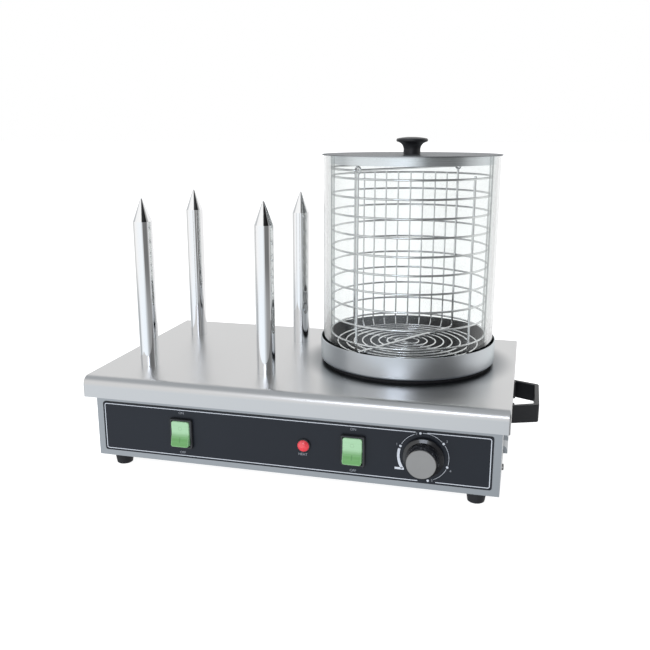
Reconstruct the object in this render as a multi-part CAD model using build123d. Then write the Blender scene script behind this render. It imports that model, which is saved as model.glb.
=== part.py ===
from build123d import *
import os
from math import cos, radians, sin, sqrt

# Counter-top hot dog warmer: a heated water pan under a glass cylinder with a wire
# basket, and four heated spikes that warm the bread rolls.  Millimetres, +Z up.
# The origin is on the table under the middle of the deck; the controls face -Y.

# ---------------------------------------------------------------- driving sizes
deck_w = 500.0            # deck, side to side
deck_d = 300.0            # deck, front to back
deck_top = 117.0          # deck's top face above the table
skirt_h = 25.3            # turned-down edge of the deck
front_bend = 10.5         # outside radius of the deck's front edge
edge_bend = 2.0           # outside radius of its other edges
sheet = 1.0               # stainless sheet of deck and housing
side_overhang = 8.0       # deck beyond the housing, each side
front_overhang = 15.5     # deck beyond the housing's front
back_overhang = 8.0       # deck beyond the housing's back
flange_w = 12.0           # turned-in edges of the side walls and base

foot_h = 13.0             # rubber feet
foot_top_r = 11.5
foot_base_r = 9.5
foot_inset_x = 25.5       # foot centre inside the housing's side
foot_inset_y = 13.5       # foot centre inside the housing's front and back
foot_recess_r = 4.3       # sunk hole for the foot's screw head
foot_recess_h = 6.0
foot_edge_r = 1.2

panel_inset = 8.5         # control panel plate inside the housing, each side
panel_h = 62.4
panel_t = 1.0
panel_r = 3.0
panel_z = 51.4            # middle height of panel, switches, lamp and knob

spike_x = -118.6          # middle of the square of four spikes
spike_y = -4.0
spike_pitch = 154.0
spike_r = 11.6
spike_h = 206.5
spike_cone_h = 27.5
spike_tip_r = 1.3
spike_wall = 1.0
spike_foot_t = 1.5        # closed foot of a spike, above the deck
spigot_r = 7.0            # threaded foot of a spike, through the deck
spigot_h = 16.0
spike_nut_flats = 22.0
spike_nut_h = 6.0
heater_lead_r = 1.1
heater_lead_gap = 2.0     # each lead from the spike's axis

pan_x = 113.3             # axis of pan, glass, basket and lid
pan_y = 24.3
pan_lip = 3.7             # outside of the water pan's well inside the glass
pan_depth = 17.0          # inside floor of the pan under the deck's top
pan_t = 1.2
pan_bend = 4.0            # outside radius round the well's floor
pan_clearance = 0.8       # well in the deck's hole
gasket_h = 3.0
collar_gap = 2.1          # collar round the glass, on the radius
collar_h = 28.5
collar_bend = 3.5
collar_lap = 2.5          # collar's hole outside the well
gasket_in = 1.5           # gasket outside the well
gasket_w = 4.0
glass_r = 106.7           # outside of the glass cylinder
glass_t = 3.0
glass_h = 251.2

lid_overhang = 1.9        # lid beyond the glass, on the radius
lid_rise = 0.3            # crown of the lid
lid_skirt_h = 10.0
lid_skirt_gap = 1.5       # lid's inner ring inside the glass
lid_knob_h = 19.8
lid_knob_head_r = 19.0
lid_knob_neck_r = 10.2
lid_screw_r = 2.5
lid_screw_head_r = 4.6
lid_screw_head_h = 2.6
lid_screw_grip = 11.0     # screw's length in the lid knob
lid_rim_w = 6.0           # flat underside round the lid

stud_r = 2.5              # studs under the pan for its heater
stud_l = 16.0
stud_circle_r = 36.0
stud_nut_flats = 8.0
stud_nut_h = 4.0
heater_inset = 38.0       # middle of the ring element inside the well
heater_tube_r = 4.0
heater_tail = 24.0
heater_plate_t = 1.5
heater_plate_hole_r = 14.0
heater_end_angles = (262, 278)   # where the ring element turns down to its terminals
bulb_r = 3.0              # thermostat's bulb under the pan
bulb_l = 60.0
bulb_inset = 21.0         # bulb inside the well's front
capillary_r = 0.9
capillary_bend = 5.0

basket_gap = 5.5          # basket inside the glass, on the radius
ring_wire_r = 1.2
main_wire_r = 1.5
thin_wire_r = 1.0
ring_pitch = 21.4
top_ring_drop = 25.0      # top ring below the glass's rim
low_ring_rise = 15.0      # lowest ring above the basket's floor
basket_floor_h = 40.0     # basket's floor above the pan's
floor_ring_inset = 8.5    # outer floor ring inside the basket's rings
floor_ring_pitch = 10.5
floor_ring_min_r = 14.0
main_wire_angle = 58.5    # direction of the first pair of uprights
thin_wire_turns = range(10, 81, 10)   # fine uprights, on from the first main one
leg_inset = 5.3           # legs inside the outer floor ring
bail_proud = 2.5          # bail outside the basket's rings
bail_wire_r = 1.3
bail_corner = 3.0
bail_above_ring = 9.5     # bail pivot above the top ring
eye_r = 3.6               # middle radius of the eyes the bail turns in
wire_bend = 5.0           # uprights into the floor
thin_wire_bend = 4.0
thin_knee = 8.0           # fine wires turn in this far above the floor
wire_end = 3.0            # plain uprights above the top ring

switch_x = (-130.5, 78.5)
rocker_w = 22.4
rocker_h = 31.0
rocker_out = 8.0          # rocker's ends in front of the panel
rocker_dip = 2.5          # hollow at the middle of its face
rocker_tilt = 8.0         # each way from level
bezel_rim = 3.0           # bezel round the rocker
bezel_t = 4.0
switch_depth = 26.0
bezel_r = 2.5
bezel_edge = 0.8
rocker_gap = 0.6          # rocker in its pocket, each side
pocket_depth = 10.0       # pocket behind the panel's face
switch_wall = 0.9
rocker_edge = 1.0
rocker_corner = 3.0
pivot_in = -1.5           # rocker's pivot behind the panel's face
pivot_pin_r = 1.0
pivot_pin_l = 1.5
tab_w = 6.4               # push-on terminals behind a switch
tab_t = 0.8
tab_l = 8.0
tab_pitch = 9.0

lamp_x = 20.6
lamp_bezel_r = 8.2
lamp_rim_w = 1.4          # rim round the lens
lamp_body_r = 6.0
lamp_depth = 22.0
lamp_rim_t = 2.4
lamp_seat = 1.2           # lens foot in front of the panel
lens_foot = 1.5
lens_dome = 3.2
lamp_nut_flats = 16.0
lamp_nut_h = 3.0
dial_x = 158.1            # thermostat's shaft
shaft_r = 3.0
shaft_in = 14.0           # shaft inside the thermostat
thermostat_w = 42.0
thermostat_h = 36.0
thermostat_depth = 34.0
thermostat_bush_r = 5.0
thermostat_screw_pitch = 28.0
thermostat_screw_l = 5.0
flat_head_r = 3.4
flat_head_h = 1.2
knob_grip_r = 18.4
knob_skirt_w = 4.6        # skirt beyond the grip
knob_taper = 1.6          # grip's foot to its face
knob_cap_rim = 0.3        # face round the metal cap
knob_reach = 21.5         # knob's face in front of the panel
knob_gap = 2.0
knob_scallops = 12
scallop_r = 2.6
scallop_cut = 0.5
knob_skirt_t = 2.4
cap_t = 1.4
cap_edge = 0.4
shaft_hold = 6.0          # shaft's end behind the knob's face

handle_y = 0.0            # middle of the handles, front to back
handle_half = 53.0        # half length of a handle at the housing
handle_grip_half = 40.0   # half length of its grip
handle_reach = 38.3
handle_h = 21.8
handle_t = 5.5
handle_root = 5.0         # straight part of each arm at the wall
handle_pad = 13.0         # thick root of a handle's arm, along the wall
handle_pad_out = 10.0
handle_corner = 4.0
handle_edge = 1.2
handle_drop = 1.2         # top of the handle under the deck's skirt

louvre_l = 100.0
louvre_h = 10.0
louvre_out = 5.0
louvre_zs = (49.7, 33.2)

gland_x = 180.0
gland_z = 45.0
gland_out = 15.0
gland_in = 12.0
cable_r = 4.2             # mains lead's way through the gland
gland_thread_r = 7.8
gland_flange_r = 12.0
gland_flange_t = 2.5
gland_flats = 21.0
gland_hex_h = 6.0
gland_dome_r = 9.2
gland_dome_edge = 3.5
gland_nut_h = 4.0
terminal_ways = 5
terminal_pitch = 10.0
terminal_w = 18.0
terminal_h = 15.0
terminal_in = 30.0        # terminal block inside the back wall
terminal_hole_r = 2.2

screw_r = 2.0             # M4 screws of the casing
screw_head_r = 3.7
screw_head_h = 2.2
screw_head_edge = 0.9
screw_slot_w = 1.0
screw_slot_h = 0.8
short_screw_l = 6.0
casing_nut_flats = 7.0
casing_nut_h = 3.2
back_screw_low = 20.0     # back screws above the base and under the deck
back_screw_high = 30.0
fit_gap = 0.1             # hole round a screw or tube, on the radius
slip = 0.2                # loose assembly gap between sheets and parts
running = 0.05            # turning pin in its hole, on the radius

# ---------------------------------------------------------------- worked-out places
deck_under = deck_top - sheet
skirt_low = deck_top - skirt_h
wall_x = deck_w / 2 - side_overhang
wall_front = -deck_d / 2 + front_overhang
wall_back = deck_d / 2 - back_overhang
wall_mid = (wall_front + wall_back) / 2
panel_face = wall_front - panel_t
collar_z = deck_top + gasket_h
seat_z = collar_z + 2 * pan_t
glass_top = seat_z + glass_h
collar_top = collar_z + collar_h
glass_in = glass_r - glass_t
collar_r = glass_r + collar_gap + pan_t
pan_r = glass_in - pan_lip
pan_floor_z = deck_top - pan_depth
basket_r = glass_in - basket_gap - ring_wire_r
bail_r = basket_r + bail_proud
floor_ring_z = pan_floor_z + basket_floor_h
floor_ring_r = basket_r - floor_ring_inset
leg_r = floor_ring_r - leg_inset
heater_ring_r = pan_r - heater_inset
lid_r = glass_r + lid_overhang
panel_w = 2 * (wall_x - panel_inset)
bezel_w = rocker_w + 2 * bezel_rim
bezel_h = rocker_h + 2 * bezel_rim
lamp_lens_r = lamp_bezel_r - lamp_rim_w
knob_skirt_r = knob_grip_r + knob_skirt_w
knob_face_r = knob_grip_r - knob_taper
knob_cap_r = knob_face_r - knob_cap_rim
top_ring_z = glass_top - top_ring_drop
bail_z = top_ring_z + bail_above_ring
main_r = basket_r - ring_wire_r - main_wire_r
thin_r = basket_r - ring_wire_r - thin_wire_r
handle_top = skirt_low - handle_drop
handle_z = handle_top - handle_h
pivot_y = panel_face + pivot_in
switch_box_w = rocker_w + 2 * (rocker_gap + switch_wall)
switch_box_h = rocker_h + 2 * (rocker_gap + switch_wall)
thermostat_screw_xs = (dial_x - thermostat_screw_pitch / 2, dial_x + thermostat_screw_pitch / 2)
pan_under = pan_floor_z - pan_t
lid_crown = glass_top + sheet + lid_rise

parts = {}


# ---------------------------------------------------------------- small helpers
def block(x0, x1, y0, y1, z0, z1):
    """Box between two corners."""
    size = (x1 - x0, y1 - y0, z1 - z0)
    return Pos((x0 + x1) / 2, (y0 + y1) / 2, (z0 + z1) / 2) * Box(*size)


def rod(r, start, end):
    """Round bar from one point to another."""
    axis = Vector(*end) - Vector(*start)
    return extrude(Plane(origin=start, z_dir=axis) * Circle(r), axis.length)


def pipe(r_out, r_in, start, end):
    """Round tube from one point to another."""
    return rod(r_out, start, end) - rod(r_in, start, end)


def hexagon_bar(flats, start, end):
    """Hexagonal bar, sized across its flats."""
    axis = Vector(*end) - Vector(*start)
    outline = RegularPolygon(flats / 2, 6, major_radius=False)
    return extrude(Plane(origin=start, z_dir=axis) * outline, axis.length)


def hoop(radius, wire_r, z, x=pan_x, y=pan_y):
    """Ring of round wire, level."""
    return Pos(x, y, z) * Torus(radius, wire_r)


def spun(points, x, y, z=0.0):
    """Solid of revolution about an upright axis, from (radius, height) points."""
    outline = make_face(Polyline(*[(r, 0, h) for r, h in points], close=True))
    return Pos(x, y, z) * revolve(outline, Axis.Z)


def spun_forward(points, x, z):
    """Solid of revolution about a front-to-back axis, from (radius, distance
    in front of the panel) points."""
    outline = make_face(Polyline(*[(r, -f, 0) for r, f in points], close=True))
    return Pos(x, panel_face, z) * revolve(outline, Axis.Y)


def bent_wire(points, wire_r, bend):
    """Round wire along straight runs joined by arcs."""
    path = FilletPolyline(*points, radius=bend)
    return sweep(Plane(origin=path @ 0, z_dir=path % 0) * Circle(wire_r), path=path)


def group(solids):
    """Identical separate pieces as one node."""
    return Compound(children=[s.solid() if len(s.solids()) == 1 else s for s in solids])


def around(radius, angle, z):
    """Point round the pan's axis."""
    return (pan_x + radius * cos(radians(angle)), pan_y + radius * sin(radians(angle)), z)


def mirrored(shape):
    return mirror(shape, about=Plane.YZ)


# ---------------------------------------------------------------- deck and housing
def deck():
    """Folded tray, upside down, with holes for the spikes and the pan."""
    outer = block(-deck_w / 2, deck_w / 2, -deck_d / 2, deck_d / 2, skirt_low, deck_top)
    inner = block(-deck_w / 2 + sheet, deck_w / 2 - sheet, -deck_d / 2 + sheet,
                  deck_d / 2 - sheet, skirt_low - sheet, deck_under)

    def bend(solid, front_r, other_r):
        top = solid.edges().filter_by_position(Axis.Z, *([solid.bounding_box().max.Z] * 2))
        front = top.sort_by(Axis.Y)[0]
        solid = fillet(front, front_r)
        top = solid.faces().sort_by(Axis.Z)[-1].edges()
        return fillet(top.sort_by(Axis.Y)[1:], other_r)

    tray = bend(outer, front_bend, edge_bend) - bend(inner, front_bend - sheet, edge_bend - sheet)
    tray -= rod(pan_r + pan_clearance, (pan_x, pan_y, skirt_low), (pan_x, pan_y, deck_top + 1))
    for x, y in spike_places():
        tray -= rod(spigot_r + fit_gap, (x, y, skirt_low), (x, y, deck_top + 1))
    return tray


def spike_places():
    half = spike_pitch / 2
    return [(spike_x + sx * half, spike_y + sy * half) for sy in (-1, 1) for sx in (-1, 1)]


def front_cuts():
    """Openings for the controls, through the front wall and the panel."""
    y0, y1 = panel_face - 1, wall_front + 2 * sheet
    half_w, half_h = switch_box_w / 2 + slip, switch_box_h / 2 + slip
    cuts = [block(x - half_w, x + half_w, y0, y1, panel_z - half_h, panel_z + half_h)
            for x in switch_x]
    cuts.append(rod(lamp_body_r + fit_gap, (lamp_x, y0, panel_z), (lamp_x, y1, panel_z)))
    cuts.append(rod(thermostat_bush_r + fit_gap, (dial_x, y0, panel_z), (dial_x, y1, panel_z)))
    for x in thermostat_screw_xs:
        cuts.append(rod(screw_r + fit_gap, (x, y0, panel_z), (x, y1, panel_z)))
    return cuts


def front_wall():
    wall = block(-wall_x, wall_x, wall_front, wall_front + sheet, foot_h, deck_under)
    for cut in front_cuts():
        wall -= cut
    return wall


def back_wall():
    wall = block(-wall_x, wall_x, wall_back - sheet, wall_back, foot_h, deck_under)
    wall -= rod(gland_thread_r + fit_gap, (gland_x, wall_back - 2 * sheet, gland_z),
                (gland_x, wall_back + 1, gland_z))
    for x, z in back_screw_places():
        wall -= rod(screw_r + fit_gap, (x, wall_back - 2 * sheet, z), (x, wall_back + 1, z))
    return wall


def back_screw_places():
    x = wall_x - sheet - flange_w / 2
    return [(sx * x, z) for sx in (-1, 1) for z in (foot_h + back_screw_low, deck_under - back_screw_high)]


def louvre(z):
    """Pressed air slot: a hood open downwards, and the hole behind it."""
    def hood(out, height, length):
        low, high = z - louvre_h / 2, z - louvre_h / 2 + height
        tip = (wall_x + out, 0, low)
        middle = (wall_x + out * sin(radians(45)), 0, low + height * cos(radians(45)))
        root = (wall_x, 0, high)
        edge = ThreePointArc(root, middle, tip)
        flat = Polyline(tip, (wall_x - sheet, 0, low), (wall_x - sheet, 0, high), root)
        return Pos(0, wall_mid + length / 2, 0) * extrude(make_face([edge, flat]), length,
                                                          dir=(0, -1, 0))

    outer = hood(louvre_out, louvre_h, louvre_l)
    inner = hood(louvre_out - sheet, louvre_h - sheet, louvre_l - 2 * sheet)
    return outer, inner


def side_wall():
    """Right side wall: turned in at front and back, with two louvres."""
    y0, y1 = wall_front + sheet, wall_back - sheet
    top = deck_under
    wall = block(wall_x - sheet, wall_x, y0, y1, foot_h, top)
    wall += block(wall_x - sheet - flange_w, wall_x, y0, y0 + sheet, foot_h, top)
    wall += block(wall_x - sheet - flange_w, wall_x, y1 - sheet, y1, foot_h, top)
    for z in louvre_zs:
        outer, inner = louvre(z)
        wall = wall + outer - inner
    for x, z in back_screw_places():
        wall -= rod(screw_r + fit_gap, (x, y1 - 2 * sheet, z), (x, y1 + 1, z))
    for y, z in handle_screw_places() + base_screw_places():
        wall -= rod(screw_r + fit_gap, (wall_x - 2 * sheet, y, z), (wall_x + 1, y, z))
    return wall


def handle_screw_places():
    y = handle_half - handle_pad / 2
    z = handle_z + handle_h / 2
    return [(handle_y - y, z), (handle_y + y, z)]


def base_screw_places():
    z = foot_h + flange_w / 2
    span = (wall_back - wall_front) / 4
    return [(wall_mid - span, z), (wall_mid + span, z)]


def base_plate():
    """Bottom tray, its long side edges turned up inside the side walls."""
    x = wall_x - sheet - slip
    y0, y1 = wall_front + 2 * sheet + slip, wall_back - 2 * sheet - slip
    z1 = foot_h + sheet + flange_w
    plate = block(-x, x, y0, y1, foot_h, foot_h + sheet)
    plate += block(x - sheet, x, y0, y1, foot_h, z1)
    plate += block(-x, -x + sheet, y0, y1, foot_h, z1)
    for fx, fy in foot_places():
        plate -= rod(screw_r + fit_gap, (fx, fy, foot_h - 1), (fx, fy, foot_h + 2 * sheet))
    for y, z in base_screw_places():
        plate -= rod(screw_r + fit_gap, (-x - 1, y, z), (x + 1, y, z))
    return plate


def foot_places():
    x = wall_x - foot_inset_x
    return [(sx * x, y) for y in (wall_front + foot_inset_y, wall_back - foot_inset_y)
            for sx in (-1, 1)]


# ---------------------------------------------------------------- feet and screws
def foot(x, y):
    """Tapered rubber foot, its screw sunk from below."""
    body = spun([(0, 0), (foot_base_r, 0), (foot_top_r, foot_h), (0, foot_h)], x, y)
    body = fillet(body.edges().filter_by(GeomType.CIRCLE).sort_by(Axis.Z)[0], foot_edge_r)
    body -= rod(foot_recess_r, (x, y, 0), (x, y, foot_recess_h))
    return body - rod(screw_r + fit_gap, (x, y, foot_recess_h), (x, y, foot_h))


def screw(x, y, z, direction, length):
    """Pan-head screw: the head's underside is at the point, the shank runs
    along the direction."""
    start = Vector(x, y, z)
    way = Vector(*direction)
    head_end = start - way * screw_head_h
    head = rod(screw_head_r, tuple(head_end), tuple(start))
    head = fillet(head.edges().sort_by(lambda e: -(e.center() - start).length)[0],
                  screw_head_edge)
    slot_plane = Plane(origin=tuple(head_end), z_dir=way)
    slot = extrude(slot_plane * Rectangle(screw_slot_w, 2 * screw_head_r + 1), screw_slot_h)
    return head - slot + rod(screw_r, tuple(start), tuple(start + way * length))


def casing_screws():
    """Screws of feet, base, back wall and handles, each kind one node."""
    foot_shank = foot_h - foot_recess_h + sheet + short_screw_l
    nut_z = foot_h + sheet
    parts["foot_screws"] = group(
        [screw(x, y, foot_recess_h, (0, 0, 1), foot_shank) for x, y in foot_places()])
    parts["foot_nuts"] = group(
        [hexagon_bar(casing_nut_flats, (x, y, nut_z), (x, y, nut_z + casing_nut_h))
         - rod(screw_r + fit_gap / 2, (x, y, nut_z), (x, y, nut_z + casing_nut_h))
         for x, y in foot_places()])
    parts["base_screws"] = group(
        [screw(side * wall_x, y, z, (-side, 0, 0), short_screw_l)
         for side in (-1, 1) for y, z in base_screw_places()])
    parts["back_screws"] = group(
        [screw(x, wall_back, z, (0, -1, 0), short_screw_l) for x, z in back_screw_places()])
    parts["handle_screws"] = group(
        [screw(side * (wall_x - sheet), y, z, (side, 0, 0), sheet + handle_pad_out - 2)
         for side in (-1, 1) for y, z in handle_screw_places()])


# ---------------------------------------------------------------- side handles
def side_handle():
    """Moulded U-shaped carrying handle on the right side wall."""
    def outline(inset):
        root_half = handle_half - inset
        grip_half = handle_grip_half - inset
        reach = handle_reach - inset
        pts = [(0, -root_half), (handle_root, -root_half), (reach, -grip_half),
               (reach, grip_half), (handle_root, root_half), (0, root_half)]
        return make_face(Polyline(*pts, close=True))

    solid = extrude(outline(0), handle_h)
    solid = fillet(solid.edges().filter_by(Axis.Z).sort_by(Axis.X)[-2:], handle_corner)
    solid -= extrude(outline(handle_t), handle_h)
    for side in (-1, 1):
        y0, y1 = sorted((side * (handle_half - handle_t / 2), side * (handle_half - handle_pad)))
        solid += block(0, handle_pad_out, y0, y1, 0, handle_h)
    flat_faces = solid.faces().filter_by(Plane.XY)
    solid = fillet(flat_faces.edges().filter_by(lambda e: e.center().X > handle_root),
                   handle_edge)
    for y, z in handle_screw_places():
        solid -= rod(screw_r, (0, y - handle_y, z - handle_z),
                     (handle_pad_out - 1.5, y - handle_y, z - handle_z))
    return Pos(wall_x, handle_y, handle_z) * solid


# ---------------------------------------------------------------- controls
def control_panel():
    plate = extrude(Plane.XZ * RectangleRounded(panel_w, panel_h, panel_r), panel_t)
    plate = Pos(0, wall_front, panel_z) * plate
    for cut in front_cuts():
        plate -= cut
    return plate


def switch_body(x):
    """Frame in front of the panel, and the box behind it that holds the rocker."""
    front = panel_face - bezel_t
    rear = panel_face + switch_depth
    body = block(x - bezel_w / 2, x + bezel_w / 2, front, panel_face,
                 panel_z - bezel_h / 2, panel_z + bezel_h / 2)
    body = fillet(body.edges().filter_by(Axis.Y), bezel_r)
    body = chamfer(body.faces().sort_by(Axis.Y)[0].edges(), bezel_edge)
    body += block(x - switch_box_w / 2, x + switch_box_w / 2, panel_face, rear,
                  panel_z - switch_box_h / 2, panel_z + switch_box_h / 2)
    half_w, half_h = rocker_w / 2 + rocker_gap, rocker_h / 2 + rocker_gap
    body -= block(x - half_w, x + half_w, front, panel_face + pocket_depth,
                  panel_z - half_h, panel_z + half_h)
    reach = rocker_w / 2 + pivot_pin_l + rocker_gap
    body -= rod(pivot_pin_r + running, (x - reach, pivot_y, panel_z), (x + reach, pivot_y, panel_z))
    for i in (-1, 0, 1):
        z = panel_z + i * tab_pitch
        body += block(x - tab_w / 2, x + tab_w / 2, rear, rear + tab_l, z - tab_t / 2, z + tab_t / 2)
    return body


def rocker(x):
    """Rocker with a hollow face, at rest with its upper end pressed in."""
    half = rocker_h / 2
    outline = [(rocker_out, half), (rocker_out - rocker_dip, 0), (rocker_out, -half),
               (0, -half), (-5, -half + 4.5), (-5, half - 4.5), (0, half)]
    face = make_face(Polyline(*[(0, -f, z) for f, z in outline], close=True))
    solid = extrude(face, rocker_w / 2, dir=(1, 0, 0), both=True)
    solid = fillet(solid.edges().filter_by(Axis.Y), rocker_corner)
    face_edges = solid.edges().filter_by(lambda e: e.center().Y < rocker_dip - rocker_out + 0.7)
    solid = fillet(face_edges, rocker_edge)
    pin_y = pivot_y - panel_face
    reach = rocker_w / 2 + pivot_pin_l
    solid += rod(pivot_pin_r, (-reach, pin_y, 0), (reach, pin_y, 0))
    solid = solid.rotate(Axis((0, pin_y, 0), (1, 0, 0)), -rocker_tilt)
    return Pos(x, panel_face, panel_z) * solid


def lamp():
    """Pilot lamp: body with a rim, its nut behind the wall, and a domed lens."""
    edge = lamp_rim_t / 3
    body = spun_forward([(0, -lamp_depth), (lamp_body_r, -lamp_depth), (lamp_body_r, 0),
                         (lamp_bezel_r, 0), (lamp_bezel_r, lamp_rim_t - edge),
                         (lamp_bezel_r - edge, lamp_rim_t), (lamp_lens_r + fit_gap, lamp_rim_t),
                         (lamp_lens_r + fit_gap, lamp_seat), (0, lamp_seat)], lamp_x, panel_z)
    sphere_r = (lamp_lens_r ** 2 + lens_dome ** 2) / (2 * lens_dome)
    base_y = panel_face - lamp_seat
    dome_y = base_y - lens_foot
    lens = rod(lamp_lens_r, (lamp_x, base_y, panel_z), (lamp_x, dome_y, panel_z))
    cap = Pos(lamp_x, dome_y - lens_dome + sphere_r, panel_z) * Sphere(sphere_r)
    cap &= rod(lamp_lens_r, (lamp_x, dome_y, panel_z), (lamp_x, dome_y - 2 * lens_dome, panel_z))
    nut_front = (lamp_x, wall_front + sheet, panel_z)
    nut_rear = (lamp_x, wall_front + sheet + lamp_nut_h, panel_z)
    parts["lamp_body"] = body
    parts["lamp_lens"] = lens + cap
    parts["lamp_nut"] = (hexagon_bar(lamp_nut_flats, nut_front, nut_rear)
                         - rod(lamp_body_r + fit_gap / 2, nut_front, nut_rear))


def thermostat():
    """Capillary thermostat behind the front wall, its shaft and knob in front."""
    y0 = wall_front + sheet
    y1 = y0 + thermostat_depth
    body = block(dial_x - thermostat_w / 2, dial_x + thermostat_w / 2, y0, y1,
                 panel_z - thermostat_h / 2, panel_z + thermostat_h / 2)
    body = fillet(body.edges().filter_by(Axis.Y), 2.0)
    body += rod(thermostat_bush_r, (dial_x, y0, panel_z), (dial_x, panel_face - 0.8, panel_z))
    shaft_end = y0 + shaft_in
    body -= rod(shaft_r + running, (dial_x, panel_face - 1, panel_z),
                (dial_x, shaft_end + slip, panel_z))
    for x in thermostat_screw_xs:
        body -= rod(screw_r, (x, y0, panel_z), (x, y0 + thermostat_screw_l + 1, panel_z))
    parts["thermostat_body"] = body
    parts["thermostat_screws"] = group(
        [rod(flat_head_r, (x, panel_face - flat_head_h, panel_z), (x, panel_face, panel_z))
         + rod(screw_r, (x, panel_face, panel_z), (x, y0 + thermostat_screw_l, panel_z))
         for x in thermostat_screw_xs])
    shaft_front = panel_face - knob_reach + shaft_hold
    parts["thermostat_shaft"] = rod(shaft_r, (dial_x, shaft_front, panel_z),
                                    (dial_x, shaft_end, panel_z))
    rim = knob_gap + knob_skirt_t
    grip_foot = rim + 1.6
    face = knob_reach - 0.8
    edge = 0.6
    knob = spun_forward([(0, knob_gap), (knob_skirt_r, knob_gap), (knob_skirt_r, rim - edge),
                         (knob_skirt_r - edge, rim), (knob_grip_r + edge, grip_foot),
                         (knob_face_r + edge, (grip_foot + face) / 2), (knob_face_r, face - 1.0),
                         (knob_face_r - 1.0, face), (0, face)], dial_x, panel_z)
    for i in range(knob_scallops):
        a = radians(360 / knob_scallops * (i + 0.5))
        r = knob_grip_r + scallop_r - scallop_cut
        x, z = dial_x + r * cos(a), panel_z + r * sin(a)
        knob -= rod(scallop_r, (x, panel_face - grip_foot - 2 * edge, z),
                    (x, panel_face - knob_reach, z))
    cap_back = panel_face - knob_reach + cap_t
    knob -= rod(knob_cap_r + fit_gap / 2, (dial_x, cap_back, panel_z),
                (dial_x, panel_face - knob_reach - 1, panel_z))
    knob -= rod(shaft_r + running / 2, (dial_x, panel_face, panel_z),
                (dial_x, shaft_front, panel_z))
    cap = rod(knob_cap_r, (dial_x, cap_back, panel_z), (dial_x, panel_face - knob_reach, panel_z))
    parts["thermostat_knob"] = knob
    parts["knob_cap"] = chamfer(cap.edges().sort_by(Axis.Y)[0], cap_edge)


# ---------------------------------------------------------------- heated spikes
def spike(x, y):
    """Hollow polished spike with a conical point and a threaded foot."""
    cone_z = spike_h - spike_cone_h
    tip_z = spike_h - spike_tip_r / 2
    slope = (spike_r - spike_tip_r) / (tip_z - cone_z)
    core_r = spike_r - spike_wall
    core_tip_r = 1.0
    core_tip = cone_z + (core_r - core_tip_r) / slope - 3 * spike_wall
    lead_r = heater_lead_gap + heater_lead_r + 1.5
    outer = spun([(0, -spigot_h), (spigot_r, -spigot_h), (spigot_r, 0), (spike_r, 0),
                  (spike_r, cone_z), (spike_tip_r, tip_z), (spike_tip_r / 2, spike_h),
                  (0, spike_h)], x, y, deck_top)
    core = spun([(0, -spigot_h - 1), (lead_r, -spigot_h - 1), (lead_r, spike_foot_t),
                 (core_r, spike_foot_t), (core_r, cone_z - 1), (core_tip_r, core_tip),
                 (0, core_tip)], x, y, deck_top)
    return outer - core


def spike_fittings():
    heater_r = spike_r - spike_wall - slip
    heater_end = spike_h - spike_cone_h - 4
    heaters, nuts = [], []
    for x, y in spike_places():
        heater = rod(heater_r, (x, y, deck_top + spike_foot_t + slip), (x, y, deck_top + heater_end))
        for dx in (-heater_lead_gap, heater_lead_gap):
            heater += rod(heater_lead_r, (x + dx, y, deck_top - spigot_h - 8),
                          (x + dx, y, deck_top + 2 * spike_foot_t))
        heaters.append(heater)
        z0 = deck_under - spike_nut_h
        nuts.append(hexagon_bar(spike_nut_flats, (x, y, z0), (x, y, deck_under))
                    - rod(spigot_r + fit_gap / 2, (x, y, z0), (x, y, deck_under)))
    parts["spike_heaters"] = group(heaters)
    parts["spike_nuts"] = group(nuts)


# ---------------------------------------------------------------- pan and collar
def collar():
    """Upright ring that holds the foot of the glass, on a turned-in base."""
    inner = collar_r - pan_t
    ring = pipe(collar_r, pan_r + collar_lap, (pan_x, pan_y, collar_z), (pan_x, pan_y, collar_top))
    edges = ring.edges().filter_by(GeomType.CIRCLE)
    outer_edges = edges.filter_by(lambda e: e.radius > collar_r - 0.1)
    ring = fillet(outer_edges.sort_by(Axis.Z)[0], collar_bend)
    ring -= rod(inner, (pan_x, pan_y, collar_z + pan_t + collar_bend),
                (pan_x, pan_y, collar_top + 1))
    low = rod(inner, (pan_x, pan_y, collar_z + pan_t),
              (pan_x, pan_y, collar_z + pan_t + collar_bend))
    low = fillet(low.edges().sort_by(Axis.Z)[0], collar_bend - pan_t)
    ring -= low
    rim = ring.edges().filter_by(GeomType.CIRCLE).sort_by(Axis.Z)[-2:]
    return fillet(rim, pan_t * 0.4)


def water_pan():
    """Round well with a flange under the glass and three studs for the heater."""
    flange_r = collar_r - pan_t - (collar_bend - pan_t) - slip
    well = rod(pan_r, (pan_x, pan_y, pan_under), (pan_x, pan_y, seat_z))
    well = fillet(well.edges().sort_by(Axis.Z)[0], pan_bend)
    water = rod(pan_r - pan_t, (pan_x, pan_y, pan_floor_z), (pan_x, pan_y, seat_z))
    water = fillet(water.edges().sort_by(Axis.Z)[0], pan_bend - pan_t)
    flange = pipe(flange_r, pan_r - pan_t, (pan_x, pan_y, seat_z - pan_t), (pan_x, pan_y, seat_z))
    pan = well - water + flange
    for x, y in heater_stud_places():
        pan += rod(stud_r, (x, y, pan_under - stud_l), (x, y, pan_under))
    return pan


def heater_stud_places():
    return [around(stud_circle_r, a, 0)[:2] for a in (90, 210, 330)]


def gasket():
    inside = pan_r + gasket_in
    return pipe(inside + gasket_w, inside, (pan_x, pan_y, deck_top), (pan_x, pan_y, collar_z))


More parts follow.
